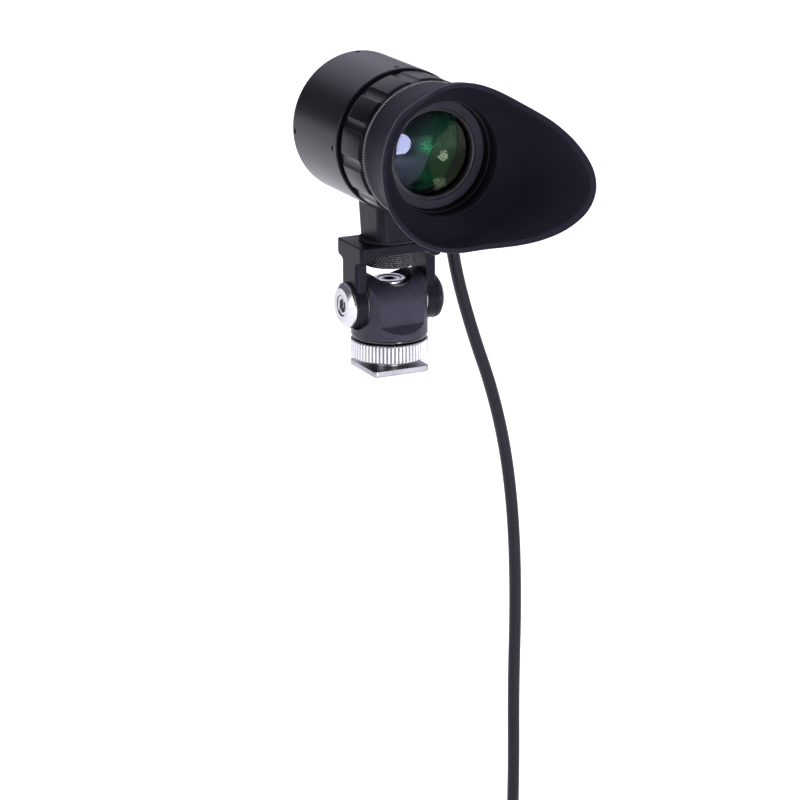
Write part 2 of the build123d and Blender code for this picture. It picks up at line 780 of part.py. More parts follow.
def cup_outline(y, flare, wall=0, share=1, inner=0):
    """Egg-shaped outline of the cup: its wall flares from the neck's radius, and the bowl
    inside goes that share of the way from an inner radius to the wall."""
    turns = section_turns[::-1] + tuple(-turn for turn in section_turns[1:-1])
    shares = section_shares[::-1] + section_shares[1:-1]
    points = []
    for turn, section in zip(turns, shares):
        outer = cup_neck_radius + flare * (section * cup_rim_radius - cup_neck_radius) - wall
        radius = inner + share * (outer - inner)
        points.append((radius * cos(radians(turn)), y, radius * sin(radians(turn))))
    return make_face(Spline(*points, periodic=True))


def make_eyecup():
    """Cup wall of an egg-shaped section, flared from its neck and trimmed to the rim line."""
    side = 2 * cup_rim_radius
    neck = cup_back - cup_plateau
    groove_back = mount_front + mount_lip_thick + running_gap
    groove_front = mount_front - running_gap
    throat_front = groove_front - cup_throat_length
    bowl = throat_front - cup_plateau
    body = loft([cup_outline(cup_back - way * neck, flare) for flare, way in cup_neck_steps + cup_lobe_steps])
    body -= loft(
        [cup_outline(throat_front - way * bowl, 1, cup_wall, share, cup_throat_radius)
         for share, way in cup_bowl_steps]
        + [cup_outline(cup_back - way * neck, flare, cup_wall) for flare, way in cup_lobe_steps])
    rim = [(across * cup_rim_radius, cup_plateau - reach * cup_reach) for across, reach in rim_line_shares]
    line = Spline(*[(x, y, 0) for x, y in rim])
    behind = cup_back + cut_over
    border = Polyline(
        (rim[-1][0], rim[-1][1], 0), (side, rim[-1][1], 0), (side, behind, 0),
        (-side, behind, 0), (-side, rim[0][1], 0), (rim[0][0], rim[0][1], 0))
    body &= extrude(make_face(Curve() + [line, border]), side, both=True)
    cup = Pos(0, 0, axis_z) * Rot(0, -lobe_turn, 0) * body
    cup -= along_y(cup_throat_radius - cup_shoulder, throat_front - cut_over, cup_back + cut_over)
    cup -= along_y(mount_lip + running_gap, groove_front, groove_back)
    return cup - along_y(mount_outer + running_gap, groove_back, cup_back + cut_over)


def make_light_baffle():
    """Black cone between the display frame and the lens barrel."""
    return turned_about_axis([
        (baffle_front_radius - baffle_wall, baffle_front), (baffle_front_radius, baffle_front),
        (baffle_back_radius, frame_front), (baffle_back_radius - baffle_wall, frame_front)])


def make_panel_frame():
    fit = tube_bore - inner_fit
    disc = along_y(fit, frame_front, frame_back)
    return disc - block_of(window_width, 2 * frame_thick, window_height,
                           0, (frame_front + frame_back) / 2, axis_z)


def make_display_panel():
    return block_of(panel_width, panel_thick, panel_height, 0, frame_back + panel_thick / 2, axis_z)


def make_backlight():
    back = frame_back + panel_thick
    return block_of(panel_width, light_thick, panel_height, 0, back + light_thick / 2, axis_z)


def make_driver_board():
    board = along_y(board_radius, board_front, board_front + board_thick)
    for x, z in chip_spots:
        board += block_of(chip_side, chip_thick, chip_side, x,
                          board_front + board_thick + chip_thick / 2, axis_z + z)
    return board


def make_board_pillars():
    return Compound(children=[
        along_y(pillar_radius, frame_back, board_front,
                pillar_circle * cos(radians(turn)), axis_z + pillar_circle * sin(radians(turn)))
        for turn in pillar_turns])


def make_ribbon_cable():
    """Flat cable from the panel's lower edge, looped back to the board."""
    low = axis_z - panel_height / 2
    start = frame_back + panel_thick / 2
    path = Polyline(
        (0, start, low), (0, start, low - ribbon_rise), (0, board_front, low - ribbon_rise))
    path = fillet(path.vertices()[1], ribbon_rise / 2)
    strip = Plane(origin=(0, start, low), z_dir=(0, 0, -1)) * Rectangle(ribbon_width, ribbon_thick)
    return sweep(strip, path)


def make_cable_gland():
    """Collar inside the wall, flange outside, and a short tapered neck."""
    out = Vector(*gland_out)
    foot = Vector(0, gland_y, axis_z)
    inner = sqrt(tube_bore ** 2 - gland_collar_radius ** 2) - seat_gap
    collar = radial(gland_collar_radius, inner - gland_collar_thick, inner, gland_turn, gland_y)
    body = radial(gland_body_radius, inner - gland_collar_thick, tube_radius + gland_flange_thick,
                  gland_turn, gland_y)
    flange_foot = tube_radius + seat_gap
    flange = radial(gland_flange_radius, flange_foot, tube_radius + gland_flange_thick,
                    gland_turn, gland_y)
    neck_foot = Plane(origin=foot + out * (tube_radius + gland_flange_thick), z_dir=out)
    neck_tip = Plane(origin=foot + out * (tube_radius + gland_length), z_dir=out)
    neck = loft([neck_foot * Circle(gland_body_radius), neck_tip * Circle(gland_tip_radius)])
    return collar + body + flange + neck


def make_lead_tail():
    """Inner end of the lead, from the gland to the board's connector."""
    inner = sqrt(tube_bore ** 2 - gland_collar_radius ** 2) - seat_gap - gland_collar_thick
    return radial(tail_radius, connector_reach, inner, gland_turn, gland_y)


def make_lead_connector():
    out = Vector(*gland_out)
    centre = Vector(0, 0, axis_z) + out * (connector_reach - connector_size / 2)
    deep = board_front - gland_y + tail_radius
    face = Plane(origin=(centre.X, board_front, centre.Z), x_dir=out, z_dir=(0, -1, 0))
    return extrude(face * Rectangle(connector_size, connector_size), deep)


def corner_radii(points):
    """Radius of each bend: a share of the shorter run over the tangent of half the turn."""
    radii = []
    for before, here, after in zip(points, points[1:], points[2:]):
        run_in = Vector(*here) - Vector(*before)
        run_out = Vector(*after) - Vector(*here)
        half_turn = radians(run_in.get_angle(run_out)) / 2
        radii.append(bend_share * min(run_in.length, run_out.length) / tan(half_turn))
    return radii


def make_cord():
    radii = corner_radii(cord_points)
    path = FilletPolyline(*cord_points, radius=radii)
    start = Vector(*cord_points[1]) - Vector(*cord_points[0])
    section = Plane(origin=cord_points[0], z_dir=start) * Circle(cord_radius)
    tube = sweep(section, path)
    ideal = pi * cord_radius ** 2 * path.length
    print("cord radii", [round(r, 1) for r in radii])
    print("cord length", round(path.length, 1), "volume share", round(tube.volume / ideal, 5))
    return tube


def plug_planes():
    """Frame of the plug: it carries on in the direction of the cord's last run."""
    tip = Vector(*cord_points[-1])
    ahead = (tip - Vector(*cord_points[-2])).normalized()
    return tip, ahead


def section_at(distance):
    tip, ahead = plug_planes()
    return Plane(origin=tip + ahead * distance, x_dir=(1, 0, 0), z_dir=ahead)


def make_plug_boot():
    """Tapered strain relief between the cord and the plug."""
    tip = section_at(0) * Circle(boot_tip_radius)
    foot = section_at(boot_length) * Circle(boot_big_radius)
    return loft([tip, foot])


def make_plug_body():
    """Moulded grip, drawn in towards the boot."""
    top = section_at(boot_length) * RectangleRounded(
        plug_width * plug_top_share, plug_depth * plug_top_share + cord_radius, plug_corner)
    full = section_at(boot_length + plug_top_length)
    neck = full * RectangleRounded(plug_width, plug_depth, plug_corner)
    grip = extrude(neck, plug_length - plug_top_length)
    return loft([top, neck]) + grip


def shell_outline(grow):
    """Outline of the metal shell: a rectangle with its two lower corners cut off."""
    half = shell_width / 2 + grow
    side = shell_depth / 2 + grow
    low = half - shell_narrow
    step = side - shell_narrow
    return make_face(Polyline((-half, side), (half, side), (half, step), (low, -side),
                              (-low, -side), (-half, step), close=True))


def make_plug_shell():
    foot = section_at(boot_length + plug_length)
    return extrude(foot * shell_outline(0), shell_length) - extrude(
        foot * shell_outline(-shell_wall), shell_length + cut_over)


def make_plug_tongue():
    """Insulator that carries the contacts inside the shell."""
    foot = section_at(boot_length + plug_length)
    return extrude(foot * Rectangle(tongue_width, tongue_depth), tongue_length)


def write(name, shape):
    shape.label = name
    export_step(shape, os.path.join("parts", name + ".step"))


def main():
    os.makedirs("parts", exist_ok=True)
    write("shoe_foot", make_shoe_foot())
    write("pressure_washer", make_pressure_washer())
    write("lock_wheel", make_lock_wheel())
    write("base_disc", make_base_disc())
    write("pivot_block", make_pivot_block())
    write("pan_bolt", make_pan_bolt())
    write("pan_washer", make_pan_washer())
    write("pivot_screw_left", make_pivot_screw(-1))
    write("pivot_screw_right", make_pivot_screw(1))
    washer_out = arm_outer + outer_washer_thick
    write("outer_washers", pair_of_washers(arm_outer, washer_out, outer_washer_radius))
    write("friction_washers", pair_of_washers(ear_half, arm_inner, friction_washer_radius))
    write("yoke", make_yoke())
    write("thumb_wheel", make_thumb_wheel())
    write("mount_stud", make_mount_stud())
    write("rubber_pad", make_rubber_pad())
    write("mount_post", make_mount_post())
    write("post_screws", make_post_screws())
    write("housing_tube", make_housing_tube())
    write("rear_cap", make_rear_cap())
    write("rear_cap_screws", grub_row(4, rear_grub_y))
    write("front_flange", make_front_flange())
    write("flange_screws", grub_row(3, front_grub_y))
    write("guide_pins", make_guide_pins())
    write("snap_ring", make_snap_ring())
    write("focus_ring", make_focus_ring())
    write("lens_barrel", make_lens_barrel())
    write("field_lens", make_lens(field_lens_back, field_lens_edge, field_lens_crown))
    write("lens_spacer", make_lens_spacer())
    write("eye_lens", make_lens(eye_lens_back, eye_lens_edge, eye_lens_crown))
    write("retaining_ring", make_retaining_ring())
    write("beaded_ring", make_beaded_ring())
    write("eyecup_mount", make_eyecup_mount())
    write("eyecup", make_eyecup())
    write("light_baffle", make_light_baffle())
    write("panel_frame", make_panel_frame())
    write("display_panel", make_display_panel())
    write("backlight", make_backlight())
    write("driver_board", make_driver_board())
    write("board_pillars", make_board_pillars())
    write("ribbon_cable", make_ribbon_cable())
    write("cable_gland", make_cable_gland())
    write("lead_tail", make_lead_tail())
    write("lead_connector", make_lead_connector())
    write("cord", make_cord())
    write("plug_boot", make_plug_boot())
    write("plug_body", make_plug_body())
    write("plug_shell", make_plug_shell())
    write("plug_tongue", make_plug_tongue())


main()
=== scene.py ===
import math

import bmesh
import bpy
import numpy as np
from mathutils import Matrix, Vector


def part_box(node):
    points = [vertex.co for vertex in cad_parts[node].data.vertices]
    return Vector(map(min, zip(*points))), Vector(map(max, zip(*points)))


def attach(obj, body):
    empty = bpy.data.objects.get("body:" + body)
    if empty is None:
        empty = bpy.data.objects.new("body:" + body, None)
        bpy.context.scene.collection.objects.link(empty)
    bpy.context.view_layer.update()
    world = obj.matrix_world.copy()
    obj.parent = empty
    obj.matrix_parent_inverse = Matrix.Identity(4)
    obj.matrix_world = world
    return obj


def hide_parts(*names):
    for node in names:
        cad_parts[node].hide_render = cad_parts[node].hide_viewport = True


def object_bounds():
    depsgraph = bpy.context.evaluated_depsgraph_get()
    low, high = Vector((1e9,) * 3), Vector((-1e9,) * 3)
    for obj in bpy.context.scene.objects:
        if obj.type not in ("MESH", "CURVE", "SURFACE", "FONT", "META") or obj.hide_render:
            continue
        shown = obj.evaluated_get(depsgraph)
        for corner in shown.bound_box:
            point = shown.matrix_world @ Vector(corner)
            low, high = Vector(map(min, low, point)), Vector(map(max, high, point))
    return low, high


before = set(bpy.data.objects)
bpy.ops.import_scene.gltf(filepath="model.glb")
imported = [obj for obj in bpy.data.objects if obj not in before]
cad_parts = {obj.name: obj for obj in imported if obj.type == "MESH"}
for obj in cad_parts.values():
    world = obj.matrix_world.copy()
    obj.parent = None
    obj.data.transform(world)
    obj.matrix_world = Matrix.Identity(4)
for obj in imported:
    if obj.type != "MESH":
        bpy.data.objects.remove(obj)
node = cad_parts
cad_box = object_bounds()
mm = 0.001

# Viewpoint: a long lens at arm's length, in front of the eyepiece, to its left and a little
# above it. The finder sits high in the picture, with its lead hanging down.
azimuth = math.radians(-25.86)
elevation = math.radians(16.91)
roll = math.radians(-0.15)
distance = 981.93 * mm
aim_height = 52.26 * mm
aim_right = 3.35 * mm
aim_up = -59.84 * mm
back = Vector((
    math.sin(azimuth) * math.cos(elevation),
    -math.cos(azimuth) * math.cos(elevation),
    math.sin(elevation)))
level_right = Vector((math.cos(azimuth), math.sin(azimuth), 0))
level_up = back.cross(level_right)
right = level_right * math.cos(roll) + level_up * math.sin(roll)
up = level_up * math.cos(roll) - level_right * math.sin(roll)
eye = Vector((0, 0, aim_height)) + right * aim_right + up * aim_up + back * distance
view_lens = bpy.data.cameras.new("viewpoint")
view_lens.lens = 146.86
view_lens.sensor_width = 36.0
view_lens.clip_start = 0.05
view_lens.clip_end = 40.0
viewpoint = bpy.data.objects.new("viewpoint", view_lens)
viewpoint.matrix_world = Matrix.Translation(eye) @ Matrix((right, up, back)).transposed().to_4x4()
bpy.context.scene.collection.objects.link(viewpoint)
bpy.context.scene.camera = viewpoint


# Shoe foot, with the washer that presses on the rails: a milled steel plate with its neck and
# threaded post in one piece, nickel plated, and a thin blackened washer above it.
def feed(tree, target, feeds):
    """Give each named socket of a node the output of another node or a plain value."""
    for socket, source in feeds.items():
        if isinstance(source, bpy.types.NodeSocket):
            tree.links.new(source, target.inputs[socket])
        else:
            target.inputs[socket].default_value = source


def add_node(tree, kind, feeds, operation=None):
    """New shader node with its sockets fed, told its operation where it has a choice of them."""
    made = tree.nodes.new("ShaderNode" + kind)
    if operation:
        made.operation = operation
    feed(tree, made, feeds)
    return made


def finish(name, colour, rough, grain, depth, drift=0.2, patch=120.0, metallic=0.0, extra=None):
    """Material on object coordinates: colour and roughness drift over soft patches, and noise
    of that many grains a metre lifts the surface by the depth in millimetres."""
    material = bpy.data.materials.new(name)
    material.use_nodes = True
    tree = material.node_tree
    place = add_node(tree, "TexCoord", {}).outputs["Object"]
    patches = add_node(tree, "TexNoise", {"Scale": patch, "Detail": 4.0, "Vector": place}).outputs["Fac"]
    tint = add_node(tree, "ValToRGB", {"Fac": patches})
    tint.name = "tint"
    for stop, (height, share) in zip(tint.color_ramp.elements, ((0.3, 1 - drift), (0.7, 1 + drift))):
        stop.position = height
        stop.color = [min(1, c * share) for c in colour] + [1]
    gloss = add_node(tree, "MapRange", {
        "Value": patches, "To Min": rough * (1 - drift / 2), "To Max": rough * (1 + drift / 2)})
    grains = add_node(tree, "TexNoise", {"Scale": grain, "Detail": 3.0, "Vector": place})
    relief = add_node(tree, "Bump", {
        "Strength": 1.0, "Distance": depth * mm, "Height": grains.outputs["Fac"]})
    feed(tree, tree.nodes["Principled BSDF"], {
        "Metallic": metallic, "Base Color": tint.outputs["Color"],
        "Roughness": gloss.outputs["Result"], "Normal": relief.outputs["Normal"], **(extra or {})})
    return material


def sheen(level, tint=(0.86, 0.84, 1.0, 1.0)):
    """Surface reflection of that strength, 0.5 being plain plastic, in a cool tint."""
    return {"Specular IOR Level": level, "Specular Tint": tint}


def dress(material, *names):
    """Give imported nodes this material."""
    for name in names:
        for place in node[name].material_slots:
            place.material = material


def weld(name):
    """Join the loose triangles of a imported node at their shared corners, and shade it smooth."""
    joined = node[name].modifiers.new("weld", "WELD")
    joined.merge_threshold = 0.002 * mm
    node[name].data.shade_smooth()


def soften(width, *names):
    """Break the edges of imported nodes: weld the loose triangles, join those in one plane, bevel
    what turns by more than 30 degrees and let the large faces rule the shading."""
    for name in names:
        weld(name)
        flat = node[name].modifiers.new("flat", "DECIMATE")
        flat.decimate_type = "DISSOLVE"
        flat.angle_limit = math.radians(0.4)
        edge = node[name].modifiers.new("edge", "BEVEL")
        edge.width = width * mm
        edge.segments = 3
        edge.limit_method = "ANGLE"
        edge.angle_limit = math.radians(30)
        edge.miter_outer = "MITER_ARC"
        shade = node[name].modifiers.new("shade", "WEIGHTED_NORMAL")
        shade.weight = 80


nickel = finish("nickel plate", (0.32, 0.32, 0.34), 0.3, 900, 0.004, metallic=1.0)
dull = sheen(0.2)
black_steel = finish("blackened steel", (0.009, 0.009, 0.012), 0.34, 1500, 0.006, extra=dull)
dress(nickel, "shoe_foot")
dress(black_steel, "pressure_washer")
soften(0.12, "shoe_foot", "pressure_washer")


# Lock wheel: a round aluminium nut turned bright, with straight serrations rolled into its rim
# between two chamfers. It runs on the foot's thread.
def extent(name, axis):
    """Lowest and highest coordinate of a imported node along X, Y or Z, in millimetres."""
    return [corner[axis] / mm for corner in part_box(name)]


def skin(name, points, round_u=True, round_v=True):
    """Mesh from a grid of points in millimetres, (m, n, 3): a face between each four
    neighbours, closed where a direction goes round, with seams and poles merged."""
    m, n = points.shape[:2]
    index = np.arange(m * n).reshape(m, n)
    if round_u:
        index = np.vstack([index, index[:1]])
    if round_v:
        index = np.hstack([index, index[:, :1]])
    faces = np.stack([index[:-1, :-1], index[1:, :-1], index[1:, 1:], index[:-1, 1:]], axis=-1)
    mesh = bpy.data.meshes.new(name)
    mesh.from_pydata((points.reshape(-1, 3) * mm).tolist(), [], faces.reshape(-1, 4).tolist())
    solid = bmesh.new()
    solid.from_mesh(mesh)
    bmesh.ops.remove_doubles(solid, verts=solid.verts, dist=0.0001 * mm)
    bmesh.ops.recalc_face_normals(solid, faces=solid.faces)
    solid.to_mesh(mesh)
    solid.free()
    mesh.shade_smooth()
    piece = bpy.data.objects.new(name, mesh)
    bpy.context.scene.collection.objects.link(piece)
    return piece


def rounded(corners, bevel, parts=5):
    """Closed outline whose corners are replaced by parabolas that leave and meet the two sides
    at the bevel's distance, or at 0.45 of a side that is shorter."""
    corner = np.array(corners, float)
    before = np.roll(corner, 1, axis=0) - corner
    after = np.roll(corner, -1, axis=0) - corner
    long_before = np.linalg.norm(before, axis=1, keepdims=True)
    long_after = np.linalg.norm(after, axis=1, keepdims=True)
    cut = np.minimum(np.reshape(bevel, (-1, 1)), 0.45 * np.minimum(long_before, long_after))
    start = (corner + before / long_before * cut)[:, None]
    end = (corner + after / long_after * cut)[:, None]
    t = np.linspace(0, 1, parts)[None, :, None]
    bend = (1 - t) ** 2 * start + 2 * t * (1 - t) * corner[:, None] + t ** 2 * end
    return bend.reshape(-1, 2)


def full_turn(steps):
    """Row of that many angles, equal steps of one full turn."""
    return np.linspace(0, 2 * np.pi, steps, endpoint=False)[None, :]


def about_z(turn, radius, height):
    """Points round the Z axis: a row of angles, and a radius and a height for each row of the
    grid or for each of its points."""
    return np.stack(np.broadcast_arrays(radius * np.cos(turn), radius * np.sin(turn), height), axis=-1)


def fit(piece, material, body, *names):
    """Dress a new piece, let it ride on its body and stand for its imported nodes."""
    piece.data.materials.append(material)
    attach(piece, body)
    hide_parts(*names)


def mixed(tree, share, first, second, blend="MIX"):
    """Colour that goes from the first to the second as the share goes from 0 to 1, or to their
    product where they multiply."""
    mix = tree.nodes.new("ShaderNodeMix")
    mix.data_type = "RGBA"
    mix.blend_type = blend
    feed(tree, mix, {"Factor": share, 6: first, 7: second})
    return mix.outputs[2]


def painted_light_rings(material, middle, across, stops, along=(0, 0, 0)):
    """Paint light and shade onto a turned piece by the distance from its axis, given as a point in
    millimetres and the two directions across it, less the way along it from that point: a stop is
    that measure and the share of the colour that it has there, so that hollows get painted shade
    and crests and edges get painted highlights."""
    tree = material.node_tree
    reach = stops[-1][0]
    across_share = [c / (reach * mm) for c in across]
    along_share = [c / (reach * mm) for c in along]
    place = add_node(tree, "TexCoord", {}).outputs["Object"]
    start = [c * mm for c in middle]
    off = add_node(tree, "VectorMath", {0: place, 1: start}, "SUBTRACT").outputs["Vector"]
    flat = add_node(tree, "VectorMath", {0: off, 1: across_share}, "MULTIPLY").outputs["Vector"]
    away = add_node(tree, "VectorMath", {0: flat}, "LENGTH").outputs["Value"]
    way = add_node(tree, "VectorMath", {0: off, 1: along_share}, "DOT_PRODUCT").outputs["Value"]
    measure = add_node(tree, "Math", {0: away, 1: way}, "SUBTRACT").outputs["Value"]
    rings = add_node(tree, "ValToRGB", {"Fac": measure})
    for stop in stops[2:]:
        rings.color_ramp.elements.new(0.5)
    for mark, (radius, share) in zip(rings.color_ramp.elements, stops):
        mark.position = radius / reach
        mark.color = (share, share, share, 1)
    tint = tree.nodes["tint"].outputs["Color"]
    shaded = mixed(tree, 1.0, tint, rings.outputs["Color"], "MULTIPLY")
    feed(tree, tree.nodes["Principled BSDF"], {"Base Color": shaded})


centre = (0, 0, 0)
across_z = (1, 1, 0)
wheel_low, wheel_high = extent("lock_wheel", 2)
wheel_radius = extent("lock_wheel", 0)[1]
wheel_bore = 5.05
wheel_chamfer = 0.5
wheel_break = 0.12
serrations = 62
serration_steps = 14
serration_depth = 0.4
tooth_flank = 1.9
tooth_crest = 0.5
wheel_corners = [
    (wheel_bore, wheel_low), (wheel_radius - wheel_chamfer, wheel_low),
    (wheel_radius, wheel_low + wheel_chamfer), (wheel_radius, wheel_high - wheel_chamfer),
    (wheel_radius - wheel_chamfer, wheel_high), (wheel_bore, wheel_high)]
wheel_outline = rounded(wheel_corners, wheel_break)
wheel_turn = full_turn(serrations * serration_steps)
tooth = np.clip(tooth_flank * np.cos(serrations * wheel_turn) + tooth_crest, -1, 1)
wheel_groove = wheel_radius - serration_depth * (1 - tooth) / 2
wheel_rim = np.minimum(wheel_outline[:, :1], wheel_groove)
lock_wheel = skin("lock_wheel_turned", about_z(wheel_turn, wheel_rim, wheel_outline[:, 1:]))
bright = finish("bright aluminium", (0.56, 0.56, 0.58), 0.3, 1400, 0.01, drift=0.1, metallic=1.0)
# Painted shade: the serration grooves are painted darker than the crests of the teeth.
painted_light_rings(bright, centre, across_z, [
    (0, 1), (wheel_radius - serration_depth, 0.2),
    (wheel_radius - 0.5 * serration_depth, 1), (wheel_radius, 1)])
fit(lock_wheel, bright, "lock_wheel", "lock_wheel")

# Gloss disc: a thin turned bearing ring, polished black, under the block. It shows as a line
# between the block and the bright wheel.
piano_black = finish(
    "polished black", (0.008, 0.008, 0.009), 0.1, 300, 0.002, extra={"Coat Weight": 0.4})
dress(piano_black, "base_disc")
soften(0.1, "base_disc")

# Swivel block: cast and milled aluminium, bead blasted and dyed black, so that its faces keep a
# fine sparkling grain. It has a milled ledge in front and a pocket for each arm of the fork.
blasted = finish(
    "blasted black", (0.0155, 0.015, 0.0245), 0.36, 2400, 0.3, drift=0.3,
    extra=sheen(0.4, (0.8, 0.78, 1.0, 1.0)))
dress(blasted, "pivot_block")
soften(0.15, "pivot_block")

# Pan bolt and its washer: a plated steel bolt with a turned ring and a hexagon socket, over a
# white nylon washer, sunk into the top of the block.
turned_steel = finish("turned steel", (0.58, 0.58, 0.6), 0.2, 1200, 0.004, drift=0.1, metallic=1.0)
nylon = finish("white nylon", (0.82, 0.82, 0.8), 0.45, 900, 0.01, drift=0.05)
# Painted shade: the hexagon socket and the groove round the turned ring are painted dark.
painted_light_rings(turned_steel, centre, across_z, [
    (0, 0.01), (2.3, 0.02), (2.45, 0.9), (3.1, 0.9), (3.25, 0.05), (3.7, 0.05), (3.85, 1), (5.3, 1)])
dress(turned_steel, "pan_bolt")
dress(nylon, "pan_washer", "friction_washers")
soften(0.12, "pan_bolt", "pan_washer")

# Tilt screws: two shoulder screws with wide domed heads, bright on the left and blackened on
# the right, each over a thin black washer. Nylon rings between the arms and the block hold
# the tilt by friction.
tilt_axis = (0, 0, sum(extent("pivot_screw_left", 2)) / 2)
across_x = (0, 1, 1)
screw_steel = finish("screw steel", (0.5, 0.5, 0.52), 0.26, 1200, 0.004, drift=0.1, metallic=1.0)
washer_black = finish("black washer", (0.006, 0.006, 0.008), 0.5, 1200, 0.01, extra=dull)
# Painted shade: the socket in the middle of the left screw's head and a narrow groove round it are
# painted dark.
painted_light_rings(screw_steel, tilt_axis, across_x, [
    (0, 0.03), (1.7, 0.03), (1.9, 1), (2.9, 1), (3.05, 0.15), (3.25, 0.15), (3.4, 1), (6.9, 1)])
dress(screw_steel, "pivot_screw_left")
dress(black_steel, "pivot_screw_right")
dress(washer_black, "outer_washers")
soften(0.15, "pivot_screw_left", "pivot_screw_right")
soften(0.08, "outer_washers", "friction_washers")

# Yoke: one milled aluminium fork, satin black. Its beam is deeper than its arms, and the arms
# end in round bosses.
matt = sheen(0.09)
satin_black = finish(
    "satin black", (0.0095, 0.0093, 0.014), 0.36, 3200, 0.03, drift=0.25, extra=matt)
dress(satin_black, "yoke")
soften(0.15, "yoke")

# Thumb wheel and stud: a knurled black wheel under the beam, with diamonds rolled into its rim,
# and a plated tripod screw through it.
thumb_low, thumb_high = extent("thumb_wheel", 2)
thumb_radius = extent("thumb_wheel", 0)[1]
thumb_bore = 3.2
thumb_chamfer = 0.4
thumb_rows = 40
knurls = 48
knurl_steps = 8
knurl_rows = 4.0
knurl_depth = 0.45
knurl_flank = 1.5


def wave(turns):
    """Triangle wave between 0 and 1, with one peak a turn."""
    return 1 - 2 * np.abs(turns - np.round(turns))


thumb_turn = full_turn(knurls * knurl_steps)
thumb_height = np.linspace(thumb_low, thumb_high, thumb_rows)[:, None]
thumb_share = (thumb_height - thumb_low) / (thumb_high - thumb_low)
slant_up = wave(knurls * thumb_turn / (2 * np.pi) + knurl_rows * thumb_share)
slant_down = wave(knurls * thumb_turn / (2 * np.pi) - knurl_rows * thumb_share)
diamond = np.clip(knurl_flank * np.minimum(slant_up, slant_down), 0, 1)
thumb_end = np.minimum(thumb_height - thumb_low, thumb_high - thumb_height)
thumb_edge = thumb_radius - np.maximum(0, thumb_chamfer - thumb_end)
thumb_side = np.minimum(thumb_edge, thumb_radius - knurl_depth * (1 - diamond))
thumb_hole = np.full_like(thumb_turn, thumb_bore)
thumb_rim = np.vstack([thumb_hole, thumb_side, thumb_hole])
thumb_rise = np.vstack([[[thumb_low]], thumb_height, [[thumb_high]]])
thumb_wheel = skin("thumb_wheel_knurled", about_z(thumb_turn, thumb_rim, thumb_rise))
knurled_black = finish("knurled black", (0.05, 0.05, 0.056), 0.2, 1800, 0.01)
# Painted shade and highlight: the knurl is painted dark in its valleys and light on its crests.
painted_light_rings(knurled_black, centre, across_z, [
    (0, 0.1), (thumb_radius - knurl_depth, 0.06),
    (thumb_radius - 0.5 * knurl_depth, 0.3), (thumb_radius, 1)])
fit(thumb_wheel, knurled_black, "thumb_wheel", "thumb_wheel")
dress(nickel, "mount_stud")

# Rubber pad: a thin disc of cork-like rubber on the beam, cut off at the front and the back,
# so that the post doesn't slip.
pad_low, pad_high = extent("rubber_pad", 2)
pad_front, pad_back = extent("rubber_pad", 1)
pad_radius = extent("rubber_pad", 0)[1]
pad_bore = 3.3
pad_round = 0.25
pad_steps = 180
least_sine = 0.01
pad_corners = [
    (pad_bore, pad_low), (pad_radius, pad_low), (pad_radius, pad_high), (pad_bore, pad_high)]
pad_outline = rounded(pad_corners, pad_round)
pad_turn = full_turn(pad_steps)
pad_side = np.where(np.sin(pad_turn) > 0, pad_back, -pad_front)
pad_cut = np.minimum(pad_radius, pad_side / np.maximum(np.abs(np.sin(pad_turn)), least_sine))
pad_share = (pad_outline[:, :1] - pad_bore) / (pad_radius - pad_bore)
pad_rim = pad_bore + pad_share * (pad_cut - pad_bore)
rubber_pad = skin("rubber_pad_moulded", about_z(pad_turn, pad_rim, pad_outline[:, 1:]))
pad_rubber = finish(
    "pad rubber", (0.02, 0.02, 0.022), 0.75, 1800, 0.12, drift=0.8, patch=1500.0, extra=dull)
fit(rubber_pad, pad_rubber, "yoke", "rubber_pad")

# Post: a short milled pillar with rounded corners, flared up to the tube that it holds. Two
# screws go into it from inside the tube.
dress(satin_black, "mount_post")
dress(nickel, "post_screws")
soften(0.2, "mount_post")

# Housing: a drawn aluminium tube, dyed satin black, with a turned edge in front that is painted as a
# thin light line for the highlight it catches, a plain cap at the back and rows of tiny sunk screws.
# The flange with the hub is screwed into its front.
tube_front = extent("housing_tube", 1)[0]
tube_radius = extent("housing_tube", 0)[1]
eye_height = sum(extent("housing_tube", 2)) / 2
across_eye = (1, 0, 1)
painted_edge_highlight = 26
tube_highlight_band = 0.22
tube_highlight_fade = 0.08
tube_look = dict(
    colour=(0.005, 0.005, 0.0065), rough=0.3, grain=2600, depth=0.008, drift=0.15, patch=60.0,
    extra=dull)
tube_black = finish("tube black", **tube_look)
tube_highlighted = finish("tube black with a painted edge highlight", **tube_look)
# Painted highlight: a thin band at the tube's outer front edge is painted many times lighter than the
# black.
painted_light_rings(tube_highlighted, (0, tube_front, eye_height), across_eye, [
    (0, 1), (tube_radius - tube_highlight_band - tube_highlight_fade, 1),
    (tube_radius - tube_highlight_band, painted_edge_highlight), (tube_radius, painted_edge_highlight)], (0, 1, 0))
dress(tube_highlighted, "housing_tube")
dress(tube_black, "rear_cap")
dress(satin_black, "front_flange")
dress(black_steel, "rear_cap_screws", "flange_screws")
soften(0.15, "housing_tube", "rear_cap")
soften(0.08, "front_flange", "rear_cap_screws", "flange_screws")


# Focus ring: a turned grip ring with twelve broad lands and narrow milled flutes between them.
# It turns on the hub, behind a split spring ring, and two pins guide the lens cell in it.
def about_eye(turn, radius, along):
    """Points round the eyepiece's axis: a row of angles from +X towards +Z, and a radius and
    a y for each row of the grid or for each of its points."""
    rise = eye_height + radius * np.sin(turn)
    return np.stack(np.broadcast_arrays(radius * np.cos(turn), along, rise), axis=-1)


